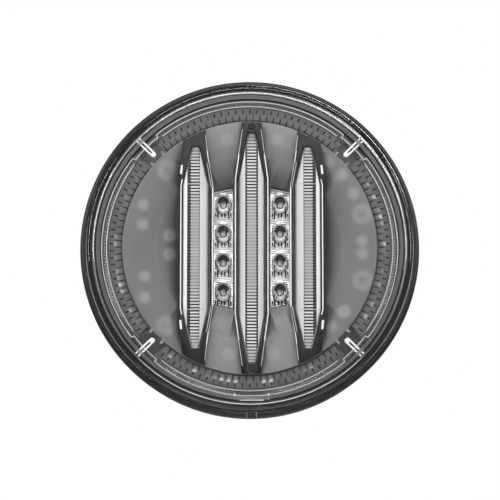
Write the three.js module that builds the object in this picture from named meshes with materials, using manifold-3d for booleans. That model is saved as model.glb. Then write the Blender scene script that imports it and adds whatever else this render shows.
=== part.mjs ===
// Round LED fog light, 122 mm class, surface mounted on two studs.
// Millimetres, +Z up. The optical axis is Y and the lens faces -Y.
// The origin is the middle of the rear gasket, where the lamp lies on its panel.

import * as THREE from 'three';
import { mergeVertices } from 'three/addons/utils/BufferGeometryUtils.js';
import Module from 'manifold-3d';

const wasm = await Module();
wasm.setup();

// ---------------------------------------------------------------- driving dimensions

const GAP = 0.3; // clearance between pieces that touch
const RING_STEPS = 64; // facets round the large turned pieces
const ROUND_STEPS = 16; // facets round screws, bosses and holes

const RIM_R = 61; // housing rim, the largest radius
const SHELL_R = 56.9; // housing behind the rim
const SHELL_BORE_R = 54.2;
const LIP_BORE_R = 59.2; // the lip that the lens skirt drops into
const LENS_SKIRT_R = 58.9;
const LENS_WALL_R = 58.2;
const LENS_SHOULDER_R = 55.2; // where the front face starts
const LENS_BORE_R = 56.4;

const GASKET_FRONT = -3;
const SHELL_REAR = GASKET_FRONT - GAP;
const SHELL_FLOOR = SHELL_REAR - 2.5;
const RIM_REAR = -15;
const RIM_FRONT = -23;
const LIP_FRONT = -26;
const SEAT = -20.2; // shelf under the lens seal
const LENS_REAR = -22.2;
const LENS_STEP = -25.8;
const LENS_SHOULDER = -29.8;
const LENS_EDGE = -32.8;
const LENS_FRONT = -34;
const LENS_WALL = 2.1;

const BOARD_FRONT = -18.6;
const BOARD_REAR = -17;
const BOARD_R = 53;
const SPREADER_FRONT = BOARD_REAR + GAP;
const SPREADER_REAR = SPREADER_FRONT + 1.5;
const SPREADER_R = 49;
const STACK_REAR = BOARD_FRONT - GAP; // what stands on the board starts here

const DISH_R = 45.6;
const DISH_STEP_R = 33.4; // faint circle where the slope ends
const DISH_EDGE = -27.7;
const DISH_FLOOR = -26.2;
const DISH_WALL = 1.5;

const PRISM_INNER_R = 45.9;
const PRISM_OUTER_R = 50.8;
const PRISM_FRONT = -27.2;
const PRISM_DEPTH = 0.7;
const PRISMS_PER_SEGMENT = 26;
const PAD_HALF_ANGLE = THREE.MathUtils.degToRad(5.6);

const CONTOUR_INNER_R = 51.1;
const CONTOUR_OUTER_R = 53.2;
const CONTOUR_FRONT = -27;
const CONTOUR_FLOOR = -26.4;
const CONTOUR_LIP = 0.4;

const BARS_X = 0.7; // the bar module sits a little right of the axis
const BAR_PITCH = 20.1;
const GUIDE_HALF_WIDTH = 4.8;
const GUIDE_TIP_HALF_WIDTH = 1.3;
const GUIDE_REAR = -20.6;
const GUIDE_FLANK_REAR = -26.4;
const GUIDE_CREST = -29.3; // front of the two walls beside the ribs
const RIB_CREST = -28.3;
const RIB_ROOT = -27.8;
const RIB_PITCH = 1.13;
const FRAME_FRONT = -28.8;
const FRAME_TRAY_FLOOR = -28.3;
const FRAME_TRAY_REAR = -28;
const FRAME_WALL = 0.7;
const SCREW_Z = 43.4; // frame screws beyond the centre guide's tips

const LED_X = 10.2; // strip axis, from the bar module's middle
const LED_PITCH = 10.55;
const LEDS_PER_STRIP = 4;
const STRIP_HALF_WIDTH = 3.5;
const STRIP_HALF_LENGTH = 22;
const STRIP_FRONT = -25.6;
const STRIP_REAR = -20.3;
const CUP_FRONT_R = 3.1;
const CUP_REAR_R = 1.8;
const LED_LENS_R = 1.3;
const LED_LENS_FRONT = -24.4;

const STUD_SPACING = 45;
const STUD_R = 2.5; // M5
const STUD_LENGTH = 14; // what stands out behind the gasket
const PANEL = 2.5; // room left for the panel under the nuts
const NUT_HALF_FLATS = 4; // 8 mm across flats
const NUT_HEIGHT = 4;
const INLET_Z = -24;
const INLET_HALF_WIDTH = 9.3;
const INLET_HALF_HEIGHT = 5.3;
const INLET_WALL = 1.5;
const INLET_REAR = 10;
const INLET_FLOOR = -2;
const TERMINAL_X = 5.4;
const VENT_Z = 26;

const CLIP_ANGLES = [44, 136, 224, 316].map(THREE.MathUtils.degToRad);
const CLIP_NAMES = ['top_right', 'top_left', 'bottom_left', 'bottom_right'];
const BOARD_SCREWS = [[-29.7, 28], [-29.7, -28], [40.3, 12], [40.3, -12]];

const lamp = new THREE.Group();

// ---------------------------------------------------------------- helpers

function toSolid(geometry) {
  geometry.deleteAttribute('normal');
  geometry.deleteAttribute('uv');
  const merged = mergeVertices(geometry, 1e-4);
  const index = merged.index.array;
  const kept = [];
  for (let i = 0; i < index.length; i += 3) {
    const [a, b, c] = index.subarray(i, i + 3);
    if (a !== b && b !== c && c !== a) kept.push(a, b, c);
  }
  return new wasm.Manifold(new wasm.Mesh({
    numProp: 3,
    vertProperties: new Float32Array(merged.attributes.position.array),
    triVerts: Uint32Array.from(kept),
  }));
}

function toGeometry(solid) {
  const mesh = solid.getMesh();
  const geometry = new THREE.BufferGeometry();
  geometry.setAttribute('position', new THREE.BufferAttribute(mesh.vertProperties, 3));
  geometry.setIndex(new THREE.BufferAttribute(mesh.triVerts, 1));
  geometry.computeVertexNormals();
  return geometry;
}

function addPart(name, solid, color, roughness, metalness = 0, opacity = 1) {
  const material = new THREE.MeshStandardMaterial({
    color, roughness, metalness, opacity, transparent: opacity < 1,
  });
  const mesh = new THREE.Mesh(toGeometry(solid), material);
  mesh.name = name;
  lamp.add(mesh);
  return mesh;
}

// A turned piece. The profile is [radius, y] pairs, anticlockwise with y up.
function turned(profile, steps = RING_STEPS) {
  const points = profile.map(([r, y]) => new THREE.Vector2(r, y));
  return toSolid(new THREE.LatheGeometry(points, steps));
}

function ring(inner, outer, front, rear, steps = RING_STEPS) {
  return turned([[inner, front], [outer, front], [outer, rear], [inner, rear], [inner, front]], steps);
}

// A straight piece along the optical axis, its outline drawn as seen from the front in (x, z).
function prism(outline, front, rear, curveSegments = 12) {
  const shape = outline instanceof THREE.Shape ? outline : polygon(outline);
  const geometry = new THREE.ExtrudeGeometry(shape, {
    depth: rear - front, bevelEnabled: false, curveSegments,
  });
  geometry.rotateX(Math.PI / 2);
  geometry.translate(0, rear, 0);
  return toSolid(geometry);
}

function polygon(points) {
  return new THREE.Shape(points.map(([x, z]) => new THREE.Vector2(x, z)));
}

function rod(radius, front, rear, x = 0, z = 0, steps = ROUND_STEPS) {
  const geometry = new THREE.CylinderGeometry(radius, radius, rear - front, steps);
  geometry.translate(x, (front + rear) / 2, z);
  return toSolid(geometry);
}

function block(width, height, front, rear, x = 0, z = 0) {
  const geometry = new THREE.BoxGeometry(width, rear - front, height);
  geometry.translate(x, (front + rear) / 2, z);
  return toSolid(geometry);
}

function sector(inner, outer, start, end) {
  const shape = new THREE.Shape();
  shape.absarc(0, 0, outer, start, end, false);
  shape.absarc(0, 0, inner, end, start, true);
  return shape;
}

function join(solids) {
  return solids.reduce((all, solid) => all.add(solid));
}

// Points of a quarter round, centred at (r, y), from one angle to another.
function arc(r, y, radius, from, to, steps = 3) {
  return Array.from({ length: steps + 1 }, (_, i) => {
    const angle = THREE.MathUtils.degToRad(from + ((to - from) * i) / steps);
    return [r + radius * Math.cos(angle), y + radius * Math.sin(angle)];
  });
}

// ---------------------------------------------------------------- housing and lens

function makeHousing() {
  const shell = turned([
    [0, SHELL_FLOOR],
    [SHELL_BORE_R, SHELL_FLOOR],
    [SHELL_BORE_R, SEAT + 0.8],
    [SHELL_BORE_R + 2, SEAT],
    [LIP_BORE_R, SEAT],
    [LIP_BORE_R, LIP_FRONT],
    ...arc(RIM_R - 1.4, LIP_FRONT + 1.4, 1.4, -90, 0),
    [RIM_R, RIM_REAR],
    [SHELL_R, RIM_REAR + 1.6],
    ...arc(SHELL_R - 1.5, SHELL_REAR - 1.5, 1.5, 0, 90, 2),
    [0, SHELL_REAR],
  ]);
  const bosses = BOARD_SCREWS.map(([x, z]) => rod(4, SPREADER_REAR + GAP, SHELL_FLOOR + 0.5, x, z));
  const pilots = BOARD_SCREWS.map(([x, z]) => rod(1.9, SPREADER_REAR, SHELL_FLOOR - 1, x, z));
  const studHoles = [-1, 1].map((side) => rod(STUD_R + GAP, SHELL_FLOOR - 1, 0, side * STUD_SPACING / 2));
  const inletHole = block(
    2 * (INLET_HALF_WIDTH + INLET_WALL + GAP), 2 * (INLET_HALF_HEIGHT + INLET_WALL + GAP),
    SHELL_FLOOR - 1, 0, 0, INLET_Z);
  const ventHole = rod(2.5, SHELL_FLOOR - 1, 0, 0, VENT_Z);
  const drainNotch = block(3.7, 3, LIP_FRONT - 1, LIP_FRONT + 0.4, BARS_X, -RIM_R + 1);
  return join([shell, ...bosses]).subtract(join([...pilots, ...studHoles, inletHole, ventHole, drainNotch]));
}

// The domed face of the lens: a shallow cap with the given edge and middle.
function domePoints(edgeR, edgeY, middleY, steps = 3) {
  return Array.from({ length: steps + 1 }, (_, i) => {
    const r = (edgeR * i) / steps;
    return [r, middleY + (edgeY - middleY) * (r / edgeR) ** 2];
  });
}

function makeLens() {
  const innerShoulder = 1.2;
  const inner = domePoints(LENS_BORE_R - innerShoulder, LENS_EDGE + LENS_WALL, LENS_FRONT + LENS_WALL);
  return turned([
    ...domePoints(LENS_SHOULDER_R, LENS_EDGE, LENS_FRONT),
    ...arc(LENS_SHOULDER_R, LENS_SHOULDER, 3, -90, 0).slice(1),
    [LENS_WALL_R, LENS_STEP],
    [LENS_SKIRT_R, LENS_STEP],
    [LENS_SKIRT_R, LENS_REAR],
    [LENS_BORE_R, LENS_REAR],
    [LENS_BORE_R, LENS_EDGE + LENS_WALL + innerShoulder],
    ...inner.reverse(),
  ]);
}

// ---------------------------------------------------------------- rings round the dish

// A bent bar whose front face rises and falls once per prism.
function makePrismSegment(start, end) {
  const geometry = new THREE.BoxGeometry(1, 1, 1, 2 * PRISMS_PER_SEGMENT, 1, 1);
  const place = geometry.attributes.position;
  for (let i = 0; i < place.count; i++) {
    const along = place.getX(i) + 0.5;
    const angle = start + along * (end - start);
    const radius = place.getY(i) > 0 ? PRISM_OUTER_R : PRISM_INNER_R;
    const isValley = Math.round(along * 2 * PRISMS_PER_SEGMENT) % 2 === 0;
    const front = isValley ? PRISM_FRONT + PRISM_DEPTH : PRISM_FRONT;
    const y = place.getZ(i) > 0 ? STACK_REAR : front;
    place.setXYZ(i, radius * Math.cos(angle), y, radius * Math.sin(angle));
  }
  return toSolid(geometry);
}

function makeContourRing() {
  const body = turned([
    [CONTOUR_INNER_R, CONTOUR_FRONT],
    [CONTOUR_INNER_R + CONTOUR_LIP, CONTOUR_FRONT],
    [CONTOUR_INNER_R + CONTOUR_LIP, CONTOUR_FLOOR],
    [CONTOUR_OUTER_R - CONTOUR_LIP, CONTOUR_FLOOR],
    [CONTOUR_OUTER_R - CONTOUR_LIP, CONTOUR_FRONT],
    [CONTOUR_OUTER_R, CONTOUR_FRONT],
    [CONTOUR_OUTER_R, STACK_REAR],
    [CONTOUR_INNER_R, STACK_REAR],
    [CONTOUR_INNER_R, CONTOUR_FRONT],
  ]);
  const earAngle = PAD_HALF_ANGLE * 0.86;
  const ears = CLIP_ANGLES.map((angle) => prism(
    sector(PRISM_INNER_R + 0.2, CONTOUR_INNER_R + 0.2, angle - earAngle, angle + earAngle),
    CONTOUR_FLOOR, CONTOUR_FLOOR + 4, 4));
  const pinHoles = CLIP_ANGLES.map((angle) => rod(
    1.2, CONTOUR_FLOOR - 1, CONTOUR_FLOOR + 5, 48.2 * Math.cos(angle), 48.2 * Math.sin(angle)));
  const key = block(12.2, 2, CONTOUR_FRONT, CONTOUR_FLOOR + 4, BARS_X, -CONTOUR_OUTER_R - 0.7);
  return join([body, ...ears, key]).subtract(join(pinHoles));
}

// A clear U-shaped clip lying along +X, with a pin under its closed end.
function makeClip() {
  const innerEnd = 48.2;
  const outerEnd = 56;
  const halfWidth = 1;
  const slot = 0.35;
  const outline = new THREE.Shape();
  outline.moveTo(outerEnd, halfWidth);
  outline.lineTo(innerEnd, halfWidth);
  outline.absarc(innerEnd, 0, halfWidth, Math.PI / 2, (3 * Math.PI) / 2, false);
  outline.lineTo(outerEnd, -halfWidth);
  outline.lineTo(outerEnd, -slot);
  outline.lineTo(innerEnd + 0.6, -slot);
  outline.lineTo(innerEnd + 0.6, slot);
  outline.lineTo(outerEnd, slot);
  const loop = prism(outline, CONTOUR_FRONT - GAP - 1.1, CONTOUR_FRONT - GAP, 8);
  const pin = rod(0.9, CONTOUR_FRONT - GAP - 0.5, CONTOUR_FLOOR + 3.5, innerEnd, 0, 16);
  return loop.add(pin);
}

// ---------------------------------------------------------------- bars

// Elongated hexagon centred on (x, 0).
function boat(x, halfWidth, straight, tipHalfWidth, halfLength) {
  return polygon([
    [x - halfWidth, -straight], [x - tipHalfWidth, -halfLength],
    [x + tipHalfWidth, -halfLength], [x + halfWidth, -straight],
    [x + halfWidth, straight], [x + tipHalfWidth, halfLength],
    [x - tipHalfWidth, halfLength], [x - halfWidth, straight],
  ]);
}

// Channel along Z between left and right, with saw-toothed ribs for a floor, to be cut away.
function makeRibbedChannel(left, right, halfLength) {
  const count = Math.floor((2 * halfLength) / RIB_PITCH);
  const start = (-count * RIB_PITCH) / 2;
  const points = [[-start + 1, -40], [start - 1, -40], [start - 1, RIB_ROOT]];
  for (let i = 0; i < count; i++) {
    points.push([start + i * RIB_PITCH, RIB_ROOT], [start + (i + 0.5) * RIB_PITCH, RIB_CREST]);
  }
  points.push([-start, RIB_ROOT], [-start + 1, RIB_ROOT]);
  const shape = polygon(points.reverse());
  const geometry = new THREE.ExtrudeGeometry(shape, { depth: right - left, bevelEnabled: false });
  geometry.rotateY(Math.PI / 2);
  geometry.translate(left, 0, 0);
  return toSolid(geometry);
}

function makeLightGuide({ x, straight, halfLength, channelLeft, channelRight, crestLeft, crestRight }) {
  const section = polygon([
    [x - GUIDE_HALF_WIDTH, GUIDE_FLANK_REAR],
    [x + crestLeft, GUIDE_CREST],
    [x + crestRight, GUIDE_CREST],
    [x + GUIDE_HALF_WIDTH, GUIDE_FLANK_REAR],
    [x + GUIDE_HALF_WIDTH, GUIDE_REAR],
    [x - GUIDE_HALF_WIDTH, GUIDE_REAR],
  ].reverse());
  const roof = new THREE.ExtrudeGeometry(section, { depth: 2 * halfLength, bevelEnabled: false });
  roof.translate(0, 0, -halfLength);
  const outline = boat(x, GUIDE_HALF_WIDTH, straight, GUIDE_TIP_HALF_WIDTH, halfLength);
  const channel = makeRibbedChannel(x + channelLeft, x + channelRight, halfLength);
  return toSolid(roof).subtract(channel).intersect(prism(outline, -40, 0));
}

function makeScrewHoles() {
  return join([-1, 1].map((side) => rod(1, -40, 0, BARS_X, side * SCREW_Z)));
}

// Dark carrier: a shallow tray over the dish and a keel through it, open for the guide.
function makeFrame(x, halfWidth, straight, halfLength) {
  const keelHalfWidth = GUIDE_HALF_WIDTH + GAP + FRAME_WALL;
  const trayLength = DISH_R;
  const tray = prism(boat(x, halfWidth, straight, 3.4, trayLength), FRAME_FRONT, FRAME_TRAY_REAR);
  const pocket = prism(
    boat(x, halfWidth - 0.5, straight, 2.9, trayLength + 1), FRAME_FRONT - 1, FRAME_TRAY_FLOOR);
  const keel = prism(
    boat(x, keelHalfWidth, straight, GUIDE_TIP_HALF_WIDTH + 1, halfLength + 1),
    FRAME_TRAY_REAR - 0.2, STACK_REAR);
  const slot = prism(
    boat(x, GUIDE_HALF_WIDTH + GAP, straight, GUIDE_TIP_HALF_WIDTH + GAP, halfLength + GAP), -40, 0);
  const dishDisc = rod(DISH_R - GAP, -40, 0, 0, 0, RING_STEPS);
  return tray.intersect(dishDisc).subtract(pocket).add(keel).subtract(slot).subtract(makeScrewHoles());
}

const BARS = [
  {
    name: 'left', x: BARS_X - BAR_PITCH, straight: 22.3, halfLength: 36.2, frameHalfWidth: 6.4,
    channelLeft: -1.75, channelRight: 1.3, crestLeft: -2.9, crestRight: 1.5,
  },
  {
    name: 'centre', x: BARS_X, straight: 24.7, halfLength: 41.2, frameHalfWidth: 6,
    channelLeft: -1.65, channelRight: 1.65, crestLeft: -2.25, crestRight: 2.25,
  },
  {
    name: 'right', x: BARS_X + BAR_PITCH, straight: 22.3, halfLength: 36.2, frameHalfWidth: 6.4,
    channelLeft: -1.3, channelRight: 1.75, crestLeft: -1.5, crestRight: 2.9,
  },
];

// ---------------------------------------------------------------- dish

function makeDish() {
  const shell = turned([
    [0, DISH_FLOOR],
    [DISH_STEP_R, DISH_FLOOR],
    [DISH_R, DISH_EDGE],
    [DISH_R, DISH_EDGE + DISH_WALL],
    [DISH_STEP_R, DISH_FLOOR + DISH_WALL],
    [0, DISH_FLOOR + DISH_WALL],
  ]);
  const keelHalfWidth = GUIDE_HALF_WIDTH + FRAME_WALL + 2 * GAP;
  const slots = BARS.map(({ x, straight, halfLength }) => prism(
    boat(x, keelHalfWidth, straight, GUIDE_TIP_HALF_WIDTH + 1 + GAP, halfLength + 1 + GAP), -40, 0));
  const windows = [-1, 1].map((side) => block(
    2 * STRIP_HALF_WIDTH + 2, 2 * (STRIP_HALF_LENGTH + GAP), -40, 0, BARS_X + side * LED_X, 0));
  return shell.subtract(join([...slots, ...windows])).subtract(makeScrewHoles());
}

// ---------------------------------------------------------------- LEDs and reflectors

function ledPlaces() {
  const middle = (LEDS_PER_STRIP - 1) / 2;
  return Array.from({ length: LEDS_PER_STRIP }, (_, i) => (middle - i) * LED_PITCH);
}

function makeReflectorStrip(x) {
  const body = block(
    2 * STRIP_HALF_WIDTH, 2 * STRIP_HALF_LENGTH, STRIP_FRONT, STRIP_REAR, x, 0);
  const depth = STRIP_REAR - STRIP_FRONT + 0.4;
  const cups = ledPlaces().map((z) => {
    const cup = new THREE.CylinderGeometry(CUP_REAR_R, CUP_FRONT_R, depth, 8, 1, false, Math.PI / 8);
    cup.translate(x, (STRIP_FRONT + STRIP_REAR) / 2, z);
    return toSolid(cup);
  });
  return body.subtract(join(cups));
}

function makeLed(x, z) {
  const base = block(3.4, 3.4, STACK_REAR - 0.9, STACK_REAR, x, z);
  const domeMiddle = LED_LENS_FRONT + LED_LENS_R;
  const lens = turned([
    [0, LED_LENS_FRONT], ...arc(0, domeMiddle, LED_LENS_R, -70, 0, 3),
    [LED_LENS_R, STACK_REAR - 0.8], [0, STACK_REAR - 0.8],
  ], 16);
  return base.add(toPlace(lens, x, z));
}

// Copies a solid to (x, z).
function toPlace(solid, x, z) {
  const geometry = toGeometry(solid);
  geometry.translate(x, 0, z);
  return toSolid(geometry);
}

// ---------------------------------------------------------------- board and fasteners

function makeScrew(headR, headFront, seat, shankR, tip) {
  return turned([
    [0, headFront],
    ...arc(headR - 0.5, headFront + 0.5, 0.5, -90, 0, 2),
    [headR, seat],
    [shankR, seat],
    [shankR, tip - 0.8],
    [shankR - 0.7, tip],
    [0, tip],
  ], ROUND_STEPS);
}

function makeBoard() {
  const disc = rod(BOARD_R, BOARD_FRONT, BOARD_REAR, 0, 0, RING_STEPS);
  const holes = BOARD_SCREWS.map(([x, z]) => rod(1.9, -30, 0, x, z));
  const pinHoles = [-1, 1].map((side) => block(1.6, 3.6, -30, 0, side * TERMINAL_X, INLET_Z));
  return disc.subtract(join([...holes, ...pinHoles]));
}

function makeSpreader() {
  const disc = rod(SPREADER_R, SPREADER_FRONT, SPREADER_REAR, 0, 0, RING_STEPS);
  const holes = BOARD_SCREWS.map(([x, z]) => rod(1.9, -30, 0, x, z));
  const inletWindow = block(18, 8, -30, 0, 0, INLET_Z);
  const capacitorWindow = rod(4.6, -30, 0, -14, -8);
  return disc.subtract(join([...holes, inletWindow, capacitorWindow]));
}

// ---------------------------------------------------------------- rear pieces

function makeGasket() {
  const disc = rod(SHELL_R - 1.6, GASKET_FRONT, 0, 0, 0, RING_STEPS);
  const studHoles = [-1, 1].map((side) => rod(STUD_R + 0.6, -5, 5, side * STUD_SPACING / 2));
  const inletHole = block(
    2 * (INLET_HALF_WIDTH + INLET_WALL + GAP), 2 * (INLET_HALF_HEIGHT + INLET_WALL + GAP), -5, 5, 0, INLET_Z);
  const ventHole = rod(6, -5, 5, 0, VENT_Z);
  return disc.subtract(join([...studHoles, inletHole, ventHole]));
}

// Stud with its hexagon head inside the housing floor.
function makeStud() {
  const head = new THREE.CylinderGeometry(4.6, 4.6, 3, 6);
  head.translate(0, SHELL_FLOOR - GAP - 1.5, 0);
  const shank = turned([
    [0, SHELL_FLOOR - GAP - 1],
    [STUD_R, SHELL_FLOOR - GAP - 1],
    [STUD_R, STUD_LENGTH - 0.8],
    [STUD_R - 0.8, STUD_LENGTH],
    [0, STUD_LENGTH],
  ], ROUND_STEPS);
  return toSolid(head).add(shank);
}

function makeNut() {
  const cornerR = NUT_HALF_FLATS / Math.cos(Math.PI / 6);
  const body = new THREE.CylinderGeometry(cornerR, cornerR, NUT_HEIGHT, 6);
  body.translate(0, PANEL + NUT_HEIGHT / 2, 0);
  const flange = rod(5.6, PANEL, PANEL + 1);
  return toSolid(body).add(flange).subtract(rod(STUD_R + GAP, 0, 20));
}

function makeInletShroud() {
  const wide = INLET_HALF_WIDTH + INLET_WALL;
  const tall = INLET_HALF_HEIGHT + INLET_WALL;
  const flangeRear = SHELL_FLOOR - 1.8;
  const flange = block(2 * wide + 4, 2 * tall + 4, flangeRear - 1.5, flangeRear, 0, INLET_Z);
  const tube = block(2 * wide, 2 * tall, flangeRear - 1, INLET_REAR, 0, INLET_Z);
  const socket = block(2 * INLET_HALF_WIDTH, 2 * INLET_HALF_HEIGHT, INLET_FLOOR, INLET_REAR + 1, 0, INLET_Z);
  const slots = [-1, 1].map((side) => block(
    0.8 + 2 * GAP, 2.8 + 2 * GAP, -30, INLET_REAR, side * TERMINAL_X, INLET_Z));
  const key = block(2, 1, INLET_FLOOR - 1, INLET_REAR - 2, 0, INLET_Z + INLET_HALF_HEIGHT - 0.4);
  return flange.add(tube).subtract(socket).add(key).subtract(join(slots));
}

function makeInletSeal() {
  const wide = INLET_HALF_WIDTH + INLET_WALL;
  const tall = INLET_HALF_HEIGHT + INLET_WALL;
  const front = SHELL_FLOOR - 1.8 + GAP;
  const rear = SHELL_FLOOR - GAP;
  const outer = block(2 * wide + 3.6, 2 * tall + 3.6, front, rear, 0, INLET_Z);
  return outer.subtract(block(2 * (wide + GAP), 2 * (tall + GAP), -30, 0, 0, INLET_Z));
}

function makeVent() {
  return turned([
    [0, SHELL_FLOOR - 1.6],
    [2.1, SHELL_FLOOR - 1.6],
    [2.1, SHELL_REAR + GAP],
    [4.8, SHELL_REAR + GAP],
    [4.8, -1.2],
    [4.2, -0.6],
    [0, -0.6],
  ], ROUND_STEPS);
}

// ---------------------------------------------------------------- assembly

addPart('housing', makeHousing(), '#2a2b2d', 0.5);
addPart('outer_lens', makeLens(), '#f4f6f7', 0.03, 0, 0.3);
addPart('lens_seal', ring(LIP_BORE_R - 2.3, LIP_BORE_R - GAP, SEAT - 1.7, SEAT - GAP), '#151515', 0.9);
addPart('diffuser_dish', makeDish(), '#77797b', 0.35);
addPart('contour_ring', makeContourRing(), '#c9cccf', 0.1, 0, 0.6);

const PRISM_SEGMENTS = [['right', 3, 4], ['top', 0, 1], ['left', 1, 2], ['bottom', 2, 3]];
for (const [name, from, to] of PRISM_SEGMENTS) {
  const start = CLIP_ANGLES[from] + PAD_HALF_ANGLE;
  const end = CLIP_ANGLES[to % 4] + (to === 4 ? 2 * Math.PI : 0) - PAD_HALF_ANGLE;
  addPart(`prism_ring_${name}`, makePrismSegment(start, end), '#8c8f92', 0.15, 0, 0.7);
}

CLIP_ANGLES.forEach((angle, i) => {
  const clip = addPart(`lens_clip_${CLIP_NAMES[i]}`, makeClip(), '#eef0f2', 0.1, 0, 0.8);
  clip.rotation.y = -angle;
});

for (const bar of BARS) {
  const { name, x, straight, halfLength, frameHalfWidth } = bar;
  addPart(`light_guide_${name}`, makeLightGuide(bar), '#d5d8da', 0.08, 0, 0.7);
  addPart(`guide_frame_${name}`, makeFrame(x, frameHalfWidth, straight, halfLength), '#38393b', 0.4);
  const row = block(3, 2 * (halfLength - 6), STACK_REAR - 1.2, STACK_REAR, x, 0);
  addPart(`guide_led_row_${name}`, row, '#e9e4c8', 0.5);
}

for (const [name, side] of [['left', -1], ['right', 1]]) {
  const x = BARS_X + side * LED_X;
  addPart(`reflector_strip_${name}`, makeReflectorStrip(x), '#d8dadc', 0.12, 1);
  ledPlaces().forEach((z, i) => {
    addPart(`fog_led_${name}_${i + 1}`, makeLed(x, z), '#8d9093', 0.15);
  });
}

for (const [name, side] of [['top', 1], ['bottom', -1]]) {
  const screw = addPart(`frame_screw_${name}`,
    makeScrew(1.4, -29.9, FRAME_FRONT - GAP, 0.7, STACK_REAR - GAP), '#3a3b3d', 0.35, 0.9);
  screw.position.set(BARS_X, 0, side * SCREW_Z);
}

addPart('circuit_board', makeBoard(), '#e8e9e6', 0.5);
addPart('heat_spreader', makeSpreader(), '#b9bcbf', 0.4, 1);
BOARD_SCREWS.forEach(([x, z], i) => {
  const screw = addPart(`board_screw_${i + 1}`,
    makeScrew(3.2, BOARD_FRONT - 2.2, BOARD_FRONT - GAP, 1.5, -8), '#c4c6c8', 0.3, 1);
  screw.position.set(x, 0, z);
});

// Surface-mount parts on the front of the board: name, x, z, width, height.
const BOARD_PARTS = [
  ['ballast_resistor_1', -38.3, 15.4, 5, 2.6],
  ['ballast_resistor_2', -38.3, 8.1, 5, 2.6],
  ['ballast_resistor_3', -37.5, -10.4, 5, 2.6],
  ['ballast_resistor_4', -37.5, -18, 5, 2.6],
  ['driver_transistor_1', -28.5, 4.3, 3.4, 3],
  ['driver_transistor_2', -28.5, -2.6, 3.4, 3],
  ['input_diode_1', 37.2, 19.4, 4.6, 2.6],
  ['input_diode_2', 33.6, -23.1, 4.6, 2.6],
];
for (const [name, x, z, width, height] of BOARD_PARTS) {
  addPart(name, block(width, height, STACK_REAR - 1.1, STACK_REAR, x, z), '#d9d9d4', 0.5);
}
addPart('smoothing_capacitor', rod(4, BOARD_REAR + GAP, -8, -14, -8), '#2c3036', 0.4);

addPart('inlet_shroud', makeInletShroud(), '#1c1d1e', 0.55);
addPart('inlet_seal', makeInletSeal(), '#b0482c', 0.8);
for (const [name, side] of [['live', -1], ['earth', 1]]) {
  addPart(`terminal_${name}`,
    block(0.8, 2.8, BOARD_FRONT + 0.4, INLET_REAR - 3, side * TERMINAL_X, INLET_Z), '#c9b37a', 0.3, 1);
}
const vent = addPart('vent_plug', makeVent(), '#3a3c3f', 0.6);
vent.position.z = VENT_Z;
addPart('base_gasket', makeGasket(), '#1d1d1d', 0.95);
for (const [name, side] of [['left', -1], ['right', 1]]) {
  const stud = addPart(`mounting_stud_${name}`, makeStud(), '#b7babd', 0.35, 1);
  const nut = addPart(`flange_nut_${name}`, makeNut(), '#b7babd', 0.35, 1);
  stud.position.x = side * STUD_SPACING / 2;
  nut.position.x = side * STUD_SPACING / 2;
}

export default lamp;
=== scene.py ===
# %% [markdown]
# # A round LED fog light
#
# The lamp faces -Y and +Z is up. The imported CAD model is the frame: every piece below takes its place
# from the boxes of the CAD nodes. Helpers work in millimetres and turn them into metres in one place.

# %% Load the frame
import math
import random

import bmesh
import bpy
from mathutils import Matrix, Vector


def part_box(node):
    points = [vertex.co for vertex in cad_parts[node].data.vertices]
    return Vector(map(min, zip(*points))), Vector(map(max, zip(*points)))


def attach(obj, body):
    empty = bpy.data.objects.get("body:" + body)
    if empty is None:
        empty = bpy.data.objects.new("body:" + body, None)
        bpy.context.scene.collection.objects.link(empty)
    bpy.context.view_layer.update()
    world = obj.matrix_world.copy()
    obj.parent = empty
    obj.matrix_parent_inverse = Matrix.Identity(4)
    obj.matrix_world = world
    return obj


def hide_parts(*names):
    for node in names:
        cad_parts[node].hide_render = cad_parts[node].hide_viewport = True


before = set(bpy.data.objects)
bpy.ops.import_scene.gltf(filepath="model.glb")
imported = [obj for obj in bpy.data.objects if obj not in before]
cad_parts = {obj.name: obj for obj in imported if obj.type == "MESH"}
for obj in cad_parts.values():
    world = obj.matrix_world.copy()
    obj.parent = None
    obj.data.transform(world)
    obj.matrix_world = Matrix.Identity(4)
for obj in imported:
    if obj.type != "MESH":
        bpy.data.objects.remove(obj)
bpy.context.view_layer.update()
MM = 0.001


def box_mm(node):
    """Lowest and highest corner of a CAD node, in millimetres."""
    low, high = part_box(node)
    return Vector(low) / MM, Vector(high) / MM


# %% [markdown]
# ## Helpers for shapes
#
# Most pieces of a lamp are turned, or drawn as one section and carried along a path. Both can be made
# by hand in the same way: a circle of points is added, slid to the first outline, then extruded and
# slid again, outline by outline. `loft` does that with any list of outlines.

# %% Selecting and lofting
def deselect():
    bpy.ops.object.select_all(action="DESELECT")


def slide_selected(old, new):
    """Slides the selected points from their places in old to their places in new."""
    mesh = bmesh.from_edit_mesh(bpy.context.edit_object.data)
    places = {tuple(round(c, 7) for c in start): end for start, end in zip(old, new)}
    for vert in mesh.verts:
        if vert.select:
            vert.co = places[tuple(round(c, 7) for c in vert.co)]
    bmesh.update_edit_mesh(bpy.context.edit_object.data)


def finish_piece(name, angle=35):
    """Closes the edit, makes the normals point out and shades by angle."""
    bpy.ops.mesh.select_all(action="SELECT")
    bpy.ops.mesh.normals_make_consistent(inside=False)
    bpy.ops.object.mode_set(mode="OBJECT")
    piece = bpy.context.object
    piece.name = name
    bpy.ops.object.shade_smooth_by_angle(angle=math.radians(angle))
    return piece


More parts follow.
